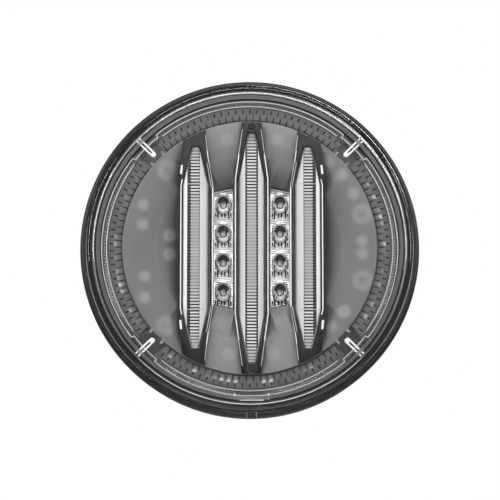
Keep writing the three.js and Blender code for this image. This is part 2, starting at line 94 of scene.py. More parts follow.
def loft(name, loops, joined=False, angle=35):
    """Carries one closed outline through a list of loops, in mm, with caps or joined into a ring."""
    loops = [[Vector(point) * MM for point in loop] for loop in loops]
    deselect()
    bpy.ops.mesh.primitive_circle_add(vertices=len(loops[0]), radius=1, fill_type="NOTHING")
    bpy.ops.object.mode_set(mode="EDIT")
    mesh = bmesh.from_edit_mesh(bpy.context.edit_object.data)
    for vert, point in zip(mesh.verts, loops[0]):
        vert.co = point
    bmesh.update_edit_mesh(bpy.context.edit_object.data)
    bpy.ops.mesh.select_all(action="SELECT")
    for old, new in zip(loops, loops[1:]):
        bpy.ops.mesh.extrude_region_move()
        slide_selected(old, new)
    if joined:
        bpy.ops.mesh.select_all(action="DESELECT")
        bpy.ops.mesh.select_non_manifold()
        bpy.ops.mesh.bridge_edge_loops()
    else:
        bpy.ops.mesh.select_all(action="SELECT")
        bpy.ops.mesh.fill_holes(sides=0)
    return finish_piece(name, angle)


# %% [markdown]
# Two special cases of `loft` make most pieces: a section turned about the lamp's axis, as in a mould
# made on a lathe, and a flat outline with a thickness. The small functions beside them give rounds,
# ring sectors and the long hexagon that the light guides share.

# %% Turned pieces and flat outlines
def circle_loop(radius, y, steps):
    turns = [2 * math.pi * i / steps for i in range(steps)]
    return [(radius * math.cos(t), y, radius * math.sin(t)) for t in turns]


def turn(name, profile, steps=192, joined=True, angle=35):
    """Turns [radius, y] points about the lamp's axis. A closed profile joins its two ends."""
    return loft(name, [circle_loop(r, y, steps) for r, y in profile], joined, angle)


def arc(r, y, radius, start, end, steps=6):
    """Points of a round in the profile plane, angles in degrees."""
    angles = [math.radians(start + (end - start) * i / steps) for i in range(steps + 1)]
    return [(r + radius * math.cos(a), y + radius * math.sin(a)) for a in angles]


def plate(name, outline, front, rear, angle=35):
    """A flat piece with an outline in (x, z), from its front to its rear."""
    return loft(name, [[(x, y, z) for x, z in outline] for y in (front, rear)], angle=angle)


def around(radius, degrees):
    return radius * math.cos(math.radians(degrees)), radius * math.sin(math.radians(degrees))


def sector(inner, outer, start, end, steps=48):
    """Outline of a ring's sector, angles in degrees."""
    turns = [start + (end - start) * i / steps for i in range(steps + 1)]
    return [around(outer, t) for t in turns] + [around(inner, t) for t in reversed(turns)]


def boat(x, half_width, straight, tip_half_width, half_length):
    """Elongated hexagon with blunt tips, centred on x."""
    return [
        (x + half_width, -straight), (x + half_width, straight),
        (x + tip_half_width, half_length), (x - tip_half_width, half_length),
        (x - half_width, straight), (x - half_width, -straight),
        (x - tip_half_width, -half_length), (x + tip_half_width, -half_length),
    ]


# %% [markdown]
# Holes and slots are cut with the manifold solver, which leaves closed bodies. A shape that repeats is
# modelled once and copied. Each copy gets its own mesh and its turn or move is applied at once, so all
# objects stay at the origin.

# %% Finishing tools
def apply_modifier(piece, kind, **settings):
    deselect()
    bpy.context.view_layer.objects.active = piece
    piece.select_set(True)
    modifier = piece.modifiers.new(kind.title(), kind)
    for key, value in settings.items():
        setattr(modifier, key, value)
    bpy.ops.object.modifier_apply(modifier=modifier.name)


def cut(piece, tool, operation="DIFFERENCE"):
    apply_modifier(piece, "BOOLEAN", object=tool, operation=operation, solver="MANIFOLD")
    bpy.data.objects.remove(tool, do_unlink=True)
    return piece


def join(pieces):
    deselect()
    for piece in pieces:
        piece.select_set(True)
    bpy.context.view_layer.objects.active = pieces[0]
    bpy.ops.object.join()
    return pieces[0]


def copy_placed(piece, name, degrees=0, offset=(0, 0, 0)):
    """A copy with its own mesh, turned about the lamp's axis as seen from the front, then moved in mm."""
    deselect()
    twin = piece.copy()
    twin.data = piece.data.copy()
    twin.name = name
    bpy.context.collection.objects.link(twin)
    twin.select_set(True)
    bpy.context.view_layer.objects.active = twin
    twin.rotation_euler = (0, -math.radians(degrees), 0)
    twin.location = Vector(offset) * MM
    bpy.ops.object.transform_apply(location=True, rotation=True, scale=True)
    return twin


# %% [markdown]
# ## Helpers for materials
#
# Colours are written as the sRGB hex values that a colour picker shows, and turned linear by one
# function. One function adds a node with its options and sockets.

# %% Colours and nodes
def linear(hex_colour):
    channels = [int(hex_colour[i:i + 2], 16) / 255 for i in (0, 2, 4)]
    return (*[c / 12.92 if c <= 0.04045 else ((c + 0.055) / 1.055) ** 2.4 for c in channels], 1)


def add_node(tree, kind, sockets=None, **options):
    """Adds a node. A socket given another node's output is linked, any other value is set."""
    node = tree.nodes.new("ShaderNode" + kind)
    for key, value in options.items():
        setattr(node, key, value)
    for key, value in (sockets or {}).items():
        if isinstance(value, bpy.types.NodeSocket):
            tree.links.new(value, node.inputs[key])
        else:
            node.inputs[key].default_value = value
    return node


def new_material(name):
    material = bpy.data.materials.new(name)
    material.use_nodes = True
    material.node_tree.nodes.clear()
    return material, material.node_tree


def finish_material(tree, surface):
    add_node(tree, "OutputMaterial", {"Surface": surface})


def grain(tree, size_mm, height_mm, detail=2.0):
    """A bump from noise with features of the given size and height."""
    place = add_node(tree, "TexCoord").outputs["Object"]
    noise = add_node(tree, "TexNoise", {"Vector": place, "Scale": 1 / (size_mm * MM), "Detail": detail})
    return add_node(tree, "Bump", {
        "Height": noise.outputs["Fac"], "Distance": height_mm * MM, "Strength": 0.6}).outputs["Normal"]


def mottled(tree, dark, light, size_mm):
    """Two close colours mixed by slow noise."""
    place = add_node(tree, "TexCoord").outputs["Object"]
    noise = add_node(tree, "TexNoise", {"Vector": place, "Scale": 1 / (size_mm * MM), "Detail": 3})
    ramp = add_node(tree, "ValToRGB", {"Fac": noise.outputs["Fac"]})
    ramp.color_ramp.elements[0].position = 0.35
    ramp.color_ramp.elements[1].position = 0.65
    ramp.color_ramp.elements[0].color = linear(dark)
    ramp.color_ramp.elements[1].color = linear(light)
    return ramp.outputs["Color"]


def paint_light_and_shade(piece, rule):
    """Stores painted light and shade for each point, 0 dark to 1 light, worked out from its place in mm."""
    layer = piece.data.attributes.new("paint_light_and_shade", "FLOAT", "POINT")
    for vert, item in zip(piece.data.vertices, layer.data):
        item.value = rule(vert.co / MM)
    return piece


def painted_light_colour(tree, dark, light):
    """The colour between dark and light that a piece's stored painted light and shade asks for."""
    shade = add_node(tree, "Attribute", attribute_name="paint_light_and_shade").outputs["Fac"]
    ramp = add_node(tree, "ValToRGB", {"Fac": shade})
    ramp.color_ramp.elements[0].color = linear(dark)
    ramp.color_ramp.elements[1].color = linear(light)
    return ramp.outputs["Color"]


def plain_finish(name, dark, light, roughness, metallic=0.0, blotch_mm=8, grain_mm=0.4,
                 grain_height=0.01, ior=1.5):
    """A solid moulded or metal finish: mottled colour and a fine grain."""
    material, tree = new_material(name)
    sockets = {
        "Base Color": mottled(tree, dark, light, blotch_mm), "Roughness": roughness,
        "Metallic": metallic, "Normal": grain(tree, grain_mm, grain_height)}
    if not metallic:
        sockets["IOR"] = ior
    shader = add_node(tree, "BsdfPrincipled", sockets)
    finish_material(tree, shader.outputs["BSDF"])
    return material


def clear_finish(name, tint, roughness, ior, veil=0.0, dark="e8ebee", light="e8ebee"):
    """Clear plastic that lets the lamps' light through. veil is how much milky scatter it shows, coloured
    between dark and light by the piece's painted light and shade.
    """
    material, tree = new_material(name)
    sockets = {
        "Base Color": linear(tint), "Roughness": roughness, "IOR": ior, "Transmission Weight": 1.0}
    body = add_node(tree, "BsdfPrincipled", sockets).outputs["BSDF"]
    if veil:
        milk = add_node(tree, "BsdfPrincipled", {
            "Base Color": painted_light_colour(tree, dark, light), "Roughness": roughness + 0.05, "IOR": ior})
        body = add_node(tree, "MixShader", {0: veil, 1: body, 2: milk.outputs["BSDF"]}).outputs["Shader"]
    through = add_node(tree, "BsdfTransparent", {"Color": linear(tint)}).outputs["BSDF"]
    shadow = add_node(tree, "LightPath").outputs["Is Shadow Ray"]
    both = add_node(tree, "MixShader", {0: shadow, 1: body, 2: through})
    finish_material(tree, both.outputs["Shader"])
    return material


def dress(piece, material, slot_name, *replaced):
    """Gives a piece its one material, its body and the CAD nodes it stands for. slot_name is not used."""
    piece.data.materials.clear()
    piece.data.materials.append(material)
    for face in piece.data.polygons:
        face.material_index = 0
    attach(piece, "root")
    if replaced:
        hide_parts(*replaced)
    return piece


def repaint(material, *nodes):
    """Gives CAD nodes a better material in every slot."""
    print(material.name, "on", len(nodes), "CAD nodes")
    for node in nodes:
        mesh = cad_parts[node].data
        for i in range(len(mesh.materials)):
            mesh.materials[i] = material
        if not mesh.materials:
            mesh.materials.append(material)


# %% [markdown]
# ## Camera, lights and floor
#
# The lamp is seen from in front and a little from below, through a long lens. A small lamp of clear
# plastic is lit as glass is: large soft boxes for clean highlight lines, and darker surroundings
# between them, so that edges show. The surroundings are white only where the camera sees them.

# %% Camera
LOOK_DOWN = -7.0
CAMERA_DISTANCE = 620
FOCAL = 122.6
TARGET = Vector((0.1, -17.5, 0.25))

elevation = math.radians(LOOK_DOWN)
camera = bpy.data.objects.new("camera", bpy.data.cameras.new("camera"))
bpy.context.collection.objects.link(camera)
camera.data.lens = FOCAL
camera.data.sensor_width = 36
back = Vector((0, -math.cos(elevation), math.sin(elevation)))
camera.location = (TARGET + back * CAMERA_DISTANCE) * MM
camera.rotation_euler = (-back).to_track_quat("-Z", "Y").to_euler()
bpy.context.scene.camera = camera
bpy.context.scene.view_settings.view_transform = "Standard"
print("camera", CAMERA_DISTANCE, "mm from the lamp, with a lens of", FOCAL, "mm")


# %% [markdown]
# One soft box above and one at each side draw clean lines along the rim and the lens. A fourth lights
# the rear. The floor is a pale sheet far below the lamp, so no hard shadow falls close to it.

# %% Lights, surroundings and floor
def soft_box(name, place, size, watts):
    light = bpy.data.lights.new(name, "AREA")
    light.shape = "RECTANGLE"
    light.size, light.size_y = size[0] * MM, size[1] * MM
    light.energy = watts
    lamp = bpy.data.objects.new(name, light)
    bpy.context.collection.objects.link(lamp)
    lamp.location = Vector(place) * MM
    lamp.rotation_euler = (Vector((0, -20, 0)) - Vector(place)).to_track_quat("-Z", "Y").to_euler()
    return lamp


soft_box("key_above", (0, -460, 560), (760, 260), 3.4)
soft_box("side_left", (-620, -400, 230), (240, 420), 2.2)
soft_box("side_right", (620, -400, 230), (240, 420), 2.0)
soft_box("rear_fill", (300, 700, 420), (600, 400), 5.0)

world = bpy.data.worlds.new("studio")
bpy.context.scene.world = world
world.use_nodes = True
world.node_tree.nodes.clear()
seen = add_node(world.node_tree, "Background", {"Color": (1, 1, 1, 1), "Strength": 1.0})
around_lamp = add_node(world.node_tree, "Background", {"Color": (1, 1, 1, 1), "Strength": 0.16})
camera_ray = add_node(world.node_tree, "LightPath").outputs["Is Camera Ray"]
surroundings = add_node(world.node_tree, "MixShader", {
    0: camera_ray, 1: around_lamp.outputs["Background"], 2: seen.outputs["Background"]})
add_node(world.node_tree, "OutputWorld", {"Surface": surroundings.outputs["Shader"]})

FLOOR_Z = -260
deselect()
bpy.ops.mesh.primitive_circle_add(vertices=96, radius=0.3, fill_type="NGON", location=(0, 0, FLOOR_Z * MM))
floor = bpy.context.object
floor.name = "studio_floor"
# Rolled matt paint: even and soft, with only very slow changes of tone.
floor.data.materials.append(plain_finish("pale_floor_paint", "e6e6e6", "ebebeb", 0.6, blotch_mm=200))
print("floor", -FLOOR_Z, "mm below the middle of the lamp")

# %% [markdown]
# ## Housing
#
# The housing is one black ABS moulding: a cup with a rim that covers the panel's edge, and a lip that
# the lens drops into. Turning its wall section gives it in one go; holes are cut afterwards.

# %% Housing
HOUSING_LOW, HOUSING_HIGH = box_mm("housing")
LENS_LOW, LENS_HIGH = box_mm("outer_lens")
SEAL_LOW, SEAL_HIGH = box_mm("lens_seal")
BOARD_HIGH = box_mm("circuit_board")[1]
GASKET_HIGH = box_mm("base_gasket")[1]
INLET_LOW, INLET_HIGH = box_mm("inlet_shroud")
VENT_LOW, VENT_HIGH = box_mm("vent_plug")
STUD_LOW, STUD_HIGH = box_mm("mounting_stud_right")
BAR_X = {name: sum(corner.x for corner in box_mm(f"light_guide_{name}")) / 2
         for name in ("left", "centre", "right")}

RIM_R = HOUSING_HIGH.x
LIP_BORE_R = LENS_HIGH.x + 0.3
SEAT_Y = SEAL_HIGH.y + 0.3
SHELL_R = GASKET_HIGH.x + 1.6
SHELL_REAR = HOUSING_HIGH.y
SHELL_FLOOR = SHELL_REAR - 2.5
LIP_FRONT = HOUSING_LOW.y
RIM_REAR = -15
BORE_R = BOARD_HIGH.x + 1.2


BOARD_SCREWS = [((low.x + high.x) / 2, (low.z + high.z) / 2) for low, high in (
    box_mm(f"board_screw_{i}") for i in (1, 2, 3, 4))]
SPREADER_REAR = box_mm("heat_spreader")[1].y + 0.3


def disc(name, x, z, radius, front, rear, steps=48):
    turns = [2 * math.pi * (i + 0.5) / steps for i in range(steps)]
    return plate(name, [(x + radius * math.cos(t), z + radius * math.sin(t)) for t in turns], front, rear)


def rectangle(x, z, width, height):
    half_w, half_h = width / 2, height / 2
    return [(x - half_w, z - half_h), (x + half_w, z - half_h),
            (x + half_w, z + half_h), (x - half_w, z + half_h)]


housing_profile = [
    (6, SHELL_FLOOR), (BORE_R - 1, SHELL_FLOOR), *arc(BORE_R - 1, SHELL_FLOOR - 1, 1, 90, 0, 4),
    (BORE_R, SEAT_Y + 0.8), (BORE_R + 2, SEAT_Y), (LIP_BORE_R, SEAT_Y), (LIP_BORE_R, LIP_FRONT + 0.3),
    *arc(LIP_BORE_R + 0.3, LIP_FRONT + 0.3, 0.3, 180, 270, 3),
    *arc(RIM_R - 1.4, LIP_FRONT + 1.4, 1.4, -90, 0, 10),
    (RIM_R, RIM_REAR - 0.6), *arc(RIM_R - 0.6, RIM_REAR - 0.6, 0.6, 0, 60, 4), (SHELL_R, RIM_REAR + 1.6),
    *arc(SHELL_R - 1.5, SHELL_REAR - 1.5, 1.5, 0, 90, 8), (6, SHELL_REAR)]
housing = turn("housing_shell", housing_profile, joined=False)
STUD_X = (STUD_LOW.x + STUD_HIGH.x) / 2
for side in (-1, 1):
    cut(housing, disc("tool", side * STUD_X, 0, 2.8, -8, 0))
cut(housing, plate("tool", rectangle(0, (INLET_LOW.z + INLET_HIGH.z) / 2, 22.2, 14.2), -8, 0))
cut(housing, disc("tool", 0, (VENT_LOW.z + VENT_HIGH.z) / 2, 2.5, -8, 0))
cut(housing, plate("tool", rectangle(BAR_X["centre"], -RIM_R + 1, 3.7, 3), LIP_FRONT - 1, LIP_FRONT + 0.4))
for x, z in BOARD_SCREWS:
    cut(housing, disc("tool", x, z, 4, SPREADER_REAR, SHELL_FLOOR + 0.5), "UNION")
    cut(housing, disc("tool", x, z, 1.3, SPREADER_REAR - 1, SPREADER_REAR + 7, 24))
print("housing", len(housing.data.vertices), "points")

# Injection moulded in a polished tool: dark and even, with soft broad highlights.
black_abs = plain_finish(
    "black_abs_moulded", "181819", "1c1c1d", 0.42, grain_mm=0.5, grain_height=0.0005, ior=1.54)
dress(housing, black_abs, "housing_plastic", "housing")

notch_sides = join([
    plate("side", rectangle(BAR_X["centre"] + side * 1.75, -RIM_R + 1.3, 0.3, 1.9),
          LIP_FRONT + 0.02, LIP_FRONT + 0.38)
    for side in (-1, 1)])
notch_sides.name = "housing_notch_sides"
# The sides of the notch in the rim are painted grey: a painted highlight along the cut edges.
notch_painted_highlight = plain_finish("black_abs_notch_painted_highlight", "77787a", "848587", 0.5)
dress(notch_sides, notch_painted_highlight, "housing_plastic")

# %% [markdown]
# ## Outer lens
#
# The lens is a clear PMMA cap with a skirt that is welded into the lip. Its shoulder and the step above
# the skirt bend the light into thin bright and dark rings, so their rounds are real geometry.

# %% Outer lens
LENS_R = LENS_HIGH.x
LENS_FRONT = LENS_LOW.y
LENS_REAR = LENS_HIGH.y
LENS_WALL_R = LENS_R - 0.7
LENS_STEP = LENS_REAR - 3.6
SHOULDER_ROUND = 1.7
SHOULDER_R = LENS_WALL_R - SHOULDER_ROUND
LENS_WALL = 2.1
LENS_BORE_R = LENS_R - 2.5
SKIRT_BEAD = 0.34
INNER_FILLET = 1.3
INNER_FACE = LENS_FRONT + 1.2 + LENS_WALL


def dome(edge_r, edge_y, middle_y, steps=14):
    radii = [edge_r * (i + 0.25) / (steps + 0.25) for i in range(steps + 1)]
    return [(r, middle_y + (edge_y - middle_y) * (r / edge_r) ** 2) for r in radii]


lens_profile = [
    *dome(SHOULDER_R, LENS_FRONT + 1.2, LENS_FRONT),
    *arc(SHOULDER_R, LENS_FRONT + 1.2 + SHOULDER_ROUND, SHOULDER_ROUND, -90, 0, 12)[1:],
    (LENS_WALL_R, LENS_STEP + 0.1),
    *arc(LENS_R - SKIRT_BEAD, LENS_STEP + SKIRT_BEAD, SKIRT_BEAD, -170, 0, 10),
    (LENS_R, LENS_REAR), (LENS_BORE_R, LENS_REAR), (LENS_BORE_R, INNER_FACE + INNER_FILLET),
    *arc(LENS_BORE_R - INNER_FILLET, INNER_FACE + INNER_FILLET, INNER_FILLET, 0, -90, 12)[1:],
    *reversed(dome(LENS_BORE_R - INNER_FILLET, INNER_FACE, LENS_FRONT + LENS_WALL)[:-1])]
lens = turn("lens_cap", lens_profile, joined=False)
# Moulded against polished steel: no haze, so rounds and steps show as thin lines.
clear_pmma = clear_finish("clear_pmma_polished", "fcfcfc", 0.0, 1.49)
dress(lens, clear_pmma, "lens_clear", "outer_lens")

lens_band = turn("lens_cap_painted_light_band", [
    (LENS_BORE_R - 3.0, INNER_FACE + 0.35), (LENS_BORE_R - 1.7, INNER_FACE + 0.35),
    (LENS_BORE_R - 1.7, INNER_FACE + 0.05), (LENS_BORE_R - 3.0, INNER_FACE + 0.05)])
# This band is painted light: a little milky grey scatter that makes a pale ring just inside the lens's wall.
lens_band_painted_light = clear_finish("pmma_painted_light_band", "f0f0f0", 0.3, 1.49, 0.38, "6e6e6e", "6e6e6e")
dress(lens_band, lens_band_painted_light, "lens_clear")

lens_highlight_rings = join([
    turn("bore_line", [(LENS_BORE_R - 0.45, INNER_FACE + 1.9), (LENS_BORE_R - 0.08, INNER_FACE + 1.9),
                       (LENS_BORE_R - 0.08, INNER_FACE + 1.5), (LENS_BORE_R - 0.45, INNER_FACE + 1.5)]),
    turn("step_line", [(LENS_WALL_R + 0.12, LENS_STEP - 0.1), (LENS_R - 0.1, LENS_STEP - 0.1),
                       (LENS_R - 0.1, LENS_STEP - 0.35), (LENS_WALL_R + 0.12, LENS_STEP - 0.35)])])
lens_highlight_rings.name = "lens_cap_painted_highlight_rings"
# Painted light and shade: the rings are stored brighter towards the top and darker towards the bottom.
paint_light_and_shade(lens_highlight_rings, lambda place: 0.45 + 0.55 * place.z / LENS_R)
# Two thin half clear rings at the bore and the step, painted as highlight lines.
painted_highlight_rings_finish = clear_finish("pmma_painted_highlight_rings", "f4f4f4", 0.15, 1.49, 0.85, "2a2a2a", "fafafa")
dress(lens_highlight_rings, painted_highlight_rings_finish, "lens_clear")
print("lens", len(lens.data.vertices), "points")

# %% [markdown]
# ## Seal
#
# A bead of rubber sits on the shelf inside the housing, under the lens skirt.

# % Lens seal
SEAL_WIDTH = 2.3
seal = turn("lens_seal_bead", [
    (SEAL_HIGH.x - SEAL_WIDTH, SEAL_HIGH.y), (SEAL_HIGH.x, SEAL_HIGH.y), (SEAL_HIGH.x, SEAL_LOW.y + 0.5),
    *arc(SEAL_HIGH.x - 0.5, SEAL_LOW.y + 0.5, 0.5, 0, -90, 4)[1:],
    *arc(SEAL_HIGH.x - 1.5, SEAL_LOW.y + 0.5, 0.5, -90, -180, 4)], steps=128)
# Foam sheet, punched out: its open pores make it dull and dark.
black_rubber = plain_finish("black_epdm_foam", "1a1a1b", "222223", 0.9, grain_mm=0.6, grain_height=0.06)
dress(seal, black_rubber, "seal_rubber", "lens_seal")
print("seal", len(seal.data.vertices), "points")

# %% [markdown]
# ## Contour ring
#
# A clear ring stands round the dish on the board. Two thin lips run round it and step inwards at each
# clip, and the floor between them carries fine radial flutes that scatter light. Four ears reach in
# between the prism segments, and a key at the bottom keeps the ring from turning. The floor is one
# turned ring whose points go up and down in turn; the lips are short sectors, so that their steps can
# be placed.

# %% Contour ring
RING_LOW, RING_HIGH = box_mm("contour_ring")
RING_FRONT, RING_REAR = RING_LOW.y, RING_HIGH.y
RING_OUTER = RING_HIGH.x
RING_INNER = RING_OUTER - 2.1
CLIP_DEGREES = {"top_right": 44, "top_left": 136, "bottom_left": 224, "bottom_right": 316}
PRISM_FRONT = box_mm("prism_ring_top")[0].y
PRISM_OUTER = box_mm("prism_ring_top")[1].z
PRISM_INNER = PRISM_OUTER - 4.9
FLUTES = 300
LIP = 0.3
KEY_X, KEY_Z = BAR_X["centre"], -RING_OUTER - 0.7
KEY_HALF_WIDTH = 6


def fluted_ring():
    steps = 2 * FLUTES
    floor_y = RING_FRONT + 0.6

    def loop(r, y, depth=0.0):
        turns = [2 * math.pi * i / steps for i in range(steps)]
        return [(r * math.cos(t), y + depth * (i % 2), r * math.sin(t)) for i, t in enumerate(turns)]

    return loft("ring_floor", [
        loop(RING_INNER + 0.1, floor_y, 0.25), loop(RING_OUTER - 0.1, floor_y, 0.25),
        loop(RING_OUTER, RING_REAR), loop(RING_INNER, RING_REAR)], joined=True, angle=20)


def lip_arc(radius, start, end):
    outline = sector(radius - LIP / 2, radius + LIP / 2, start, end, 64)
    return plate("lip", outline, RING_FRONT, RING_FRONT + 1.2)


def turned_away(piece, degrees):
    """The piece turned about the axis; the first one is dropped."""
    twin = copy_placed(piece, piece.name + "_turned", degrees)
    bpy.data.objects.remove(piece, do_unlink=True)
    return twin


def radial_bar(inner, outer, degrees, width, front, rear):
    outline = [(inner, -width / 2), (outer, -width / 2), (outer, width / 2), (inner, width / 2)]
    return turned_away(plate("bar", outline, front, rear), degrees)


def contour_lips():
    lips = []
    outer_r, jog_r, inner_r = RING_OUTER - LIP / 2, RING_OUTER - 1.2, RING_INNER + LIP / 2
    for start, end in ((44, 136), (136, 224), (224, 316), (316, 404)):
        lips.append(lip_arc(outer_r, start + 6.4, end - 6.4))
        lips.append(lip_arc(inner_r, start + 8.2, end - 8.2))
        lips.append(lip_arc(jog_r, start - 6.4, start + 6.4))
        for side in (-6.4, 6.4):
            lips.append(radial_bar(jog_r, outer_r, start + side, LIP, RING_FRONT, RING_FRONT + 1.2))
    return lips


def key_edges():
    posts = [plate("post", rectangle(KEY_X + side * KEY_HALF_WIDTH, KEY_Z + 0.6, 0.5, 2.1),
                   RING_FRONT - 0.5, RING_FRONT + 0.8) for side in (-1, 1)]
    bars = [plate("bar", rectangle(KEY_X, KEY_Z - 0.6, 8.4, 0.5), RING_FRONT - 0.5, RING_FRONT + 0.8),
            plate("bar", rectangle(KEY_X, KEY_Z + 0.1, 11.2, 0.14), RING_FRONT, RING_FRONT + 0.8)]
    return posts + bars


def ears():
    made = []
    for degrees in CLIP_DEGREES.values():
        outline = sector(PRISM_INNER + 0.2, RING_INNER + 0.3, degrees - 4.7, degrees + 4.7, 12)
        made.append(plate("ear", outline, RING_FRONT + 0.6, RING_FRONT + 4.6))
    return made


def latches():
    """Small hooks at the inner edge of each ear, either side of its clip."""
    return [radial_bar(PRISM_INNER - 1.2, PRISM_INNER + 1.0, degrees + side, 0.8,
                       RING_FRONT - 0.9, RING_FRONT - 0.4)
            for degrees in CLIP_DEGREES.values() for side in (-3.4, 3.4)]


# Painted light and shade on the ring: flute points lying further back and the rear are painted light, the
# front ones dark, the inner edge a middle grey.
def flute_painted_light(place):
    r = math.hypot(place.x, place.z)
    return 0.15 + 0.5 * (place.y > RING_FRONT + 0.7) if r > RING_INNER + 0.05 else 0.45


key = plate("key", rectangle(KEY_X, KEY_Z, 12.2, 2), RING_FRONT + 0.5, RING_FRONT + 4.6)
# Moulded with sharp flutes. The milky share is painted light and shade: it stands for the light that the
# flutes send forward, painted light and dark by turns.
clear_pc = clear_finish("clear_polycarbonate_moulded", "e4e4e4", 0.04, 1.586, 0.55, "1a1a1a", "7c7c7c")
# The edges of a clear moulding show as bright lines, painted here as painted highlights: a milky white share.
# These three finishes differ in how bright the painted line is.
painted_highlight_edge = clear_finish("clear_edge_painted_highlight", "f2f2f2", 0.05, 1.586, 0.8, "dcdcdc", "dcdcdc")
painted_bright_edge = clear_finish("clear_edge_painted_bright_highlight", "f8f8f8", 0.05, 1.586, 0.92, "ffffff", "ffffff")
painted_soft_edge = clear_finish("clear_edge_half_bright", "f2f2f2", 0.05, 1.586, 0.6, "a0a0a0", "a0a0a0")
ring = paint_light_and_shade(join([fluted_ring(), *ears(), key]), flute_painted_light)
ring.name = "contour_ring_body"
dress(ring, clear_pc, "ring_clear", "contour_ring")
# The key's edges, the lips and the latches are painted highlights.
key_lines = join(key_edges())
key_lines.name = "contour_key_edges"
dress(key_lines, painted_bright_edge, "ring_clear")
lips = join(contour_lips())
lips.name = "contour_ring_lips"
dress(lips, painted_highlight_edge, "ring_clear")
hooks = join(latches())
hooks.name = "contour_ring_latches"
dress(hooks, painted_soft_edge, "ring_clear")
print("contour ring", len(ring.data.vertices), "points, lips", len(lips.data.vertices))

# %% [markdown]
# ## Prism ring
#
# Between the ears run four segments of clear plastic with two rows of small prisms, which spread the
# light of the board's LEDs into a ring. Each segment is one section carried round, in six steps to a
# pitch. At the first the inner row is pressed back, which makes the gap between two prisms, and half a
# pitch further the outer row has its notch. The stored painted shade darkens the gaps, where little
# light comes out, and painted glints light up some of the prisms at the sides and the bottom, where a
# lamp's reflection shows.

# %% Prism ring
PRISM_PITCH = 2.95
CHANCE = random.Random(7)
PRISM_SPLIT = PRISM_INNER + 2.7
# scale of the painted shade outside the painted glints
PRISM_GREY = 0.25
# share of the pitch, gap in the inner row, gap in the outer row
PRISM_STATIONS = [(0.0, 1, 0), (0.1, 0, 0), (0.37, 0, 0), (0.5, 0, 1), (0.63, 0, 0), (0.9, 0, 0)]


def prism_segment(name, start, end):
    count = round((end - start) / PRISM_PITCH)
    stations = [(i + share, inner, outer) for i in range(count) for share, inner, outer in PRISM_STATIONS]
    stations.append((count, 1, 0))
    glint_draws = [CHANCE.random() for _ in range(count + 1)]
    loops, shades = [], []
    for place, inner, outer in stations:
        degrees = start + (end - start) * place / count
        c, s = around(1, degrees)
        # Painted glints: some prisms at the sides and the bottom are stored bright, where a lamp's reflection
        # shows.
        glint_side = max(0.0, -s) * 1.0 + max(0.0, abs(c) - 0.6) * (2.2 if c > 0 else 1.5)
        in_block = 0.3 < place % 1 < 0.7
        painted_glint = 6.0 * max(0.0, glint_draws[int(place)] * glint_side - 0.35) * in_block
        section = [
            (PRISM_INNER, 0.4 + 1.2 * inner, 0.4 - 0.2 * inner),
            (PRISM_INNER + 0.35, 1.2 * inner, 0.62 - 0.5 * inner),
            (PRISM_SPLIT - 1.2, 0.7 * inner, 0.72 - 0.45 * inner + 0.4 * painted_glint * (outer > 0)),
            (PRISM_SPLIT - 0.4, 0.05, 0.72 - 0.1 * inner + painted_glint), (PRISM_SPLIT, 0.12, 0.6 + painted_glint),
            (PRISM_SPLIT + 0.35, 0.05 + 0.75 * outer, 0.7 - 0.65 * outer),
            (PRISM_SPLIT + 1.0, 0.7 * outer, 0.66 - 0.5 * outer),
            (PRISM_OUTER - 0.4, 0.1 + 0.2 * outer, 0.6), (PRISM_OUTER, 0.5, 0.4)]
        points = [(r * c, PRISM_FRONT + back, r * s) for r, back, _ in section]
        loops.append(points + [(r * c, RING_REAR, r * s) for r in (PRISM_OUTER, PRISM_INNER)])
        shades.append([PRISM_GREY * shade for _, _, shade in section] + [0.07, 0.07])
    segment = loft(name, loops, angle=25)
    painted_shade_at = {tuple(round(v * 50) for v in point): shade
             for points, row in zip(loops, shades) for point, shade in zip(points, row)}
    return paint_light_and_shade(segment, lambda place: painted_shade_at.get(tuple(round(v * 50) for v in place), 0.07))


# Prisms moulded in a cut tool: the shades from black to white on their faces are painted shade and painted
# glints.
prism_pc = clear_finish("clear_polycarbonate_prisms", "dadada", 0.06, 1.586, 0.8, "060606", "f0f0f0")
for name, start, end in (("right", -44, 44), ("top", 44, 136), ("left", 136, 224), ("bottom", 224, 316)):
    segment = prism_segment(f"prism_segment_{name}", start + 5.6, end - 5.6)
    dress(segment, prism_pc, "ring_clear", f"prism_ring_{name}")
print("prism segments", len(segment.data.vertices), "points each")

# %% [markdown]
# ## Clips
#
# Four U-shaped clips of clear plastic hold the ring. Each is a round section carried along a U, with a
# pin under the bend.

# %% Clips
CLIP_FRONT = box_mm("lens_clip_top_right")[0].y
CLIP_INNER_R = 48.2
CLIP_OUTER_R = 56.0


def clip():
    """A clip at three o'clock: its bow and the pin under the bend."""
    wire, half_gap, sides = 0.34, 0.66, 10
    path = [(CLIP_OUTER_R, half_gap, 90.0), (CLIP_INNER_R + 2, half_gap, 90.0)]
    for out in range(90, 271, 20):
        bend = math.radians(out)
        path.append((CLIP_INNER_R + half_gap * math.cos(bend), half_gap * math.sin(bend), out))
    path += [(CLIP_INNER_R + 2, -half_gap, 270.0), (CLIP_OUTER_R, -half_gap, 270.0)]
    loops = []
    for x, z, out in path:
        turns = [2 * math.pi * i / sides for i in range(sides)]
        c, s = around(1, out)
        loops.append([(x + wire * math.cos(t) * c, CLIP_FRONT + 0.55 + 0.5 * math.sin(t),
                       z + wire * math.cos(t) * s) for t in turns])
    bow = loft("clip", loops)
    pin = disc("pin", CLIP_INNER_R, 0, 0.9, CLIP_FRONT + 0.9, CLIP_FRONT + 5.5, 24)
    return join([bow, pin])


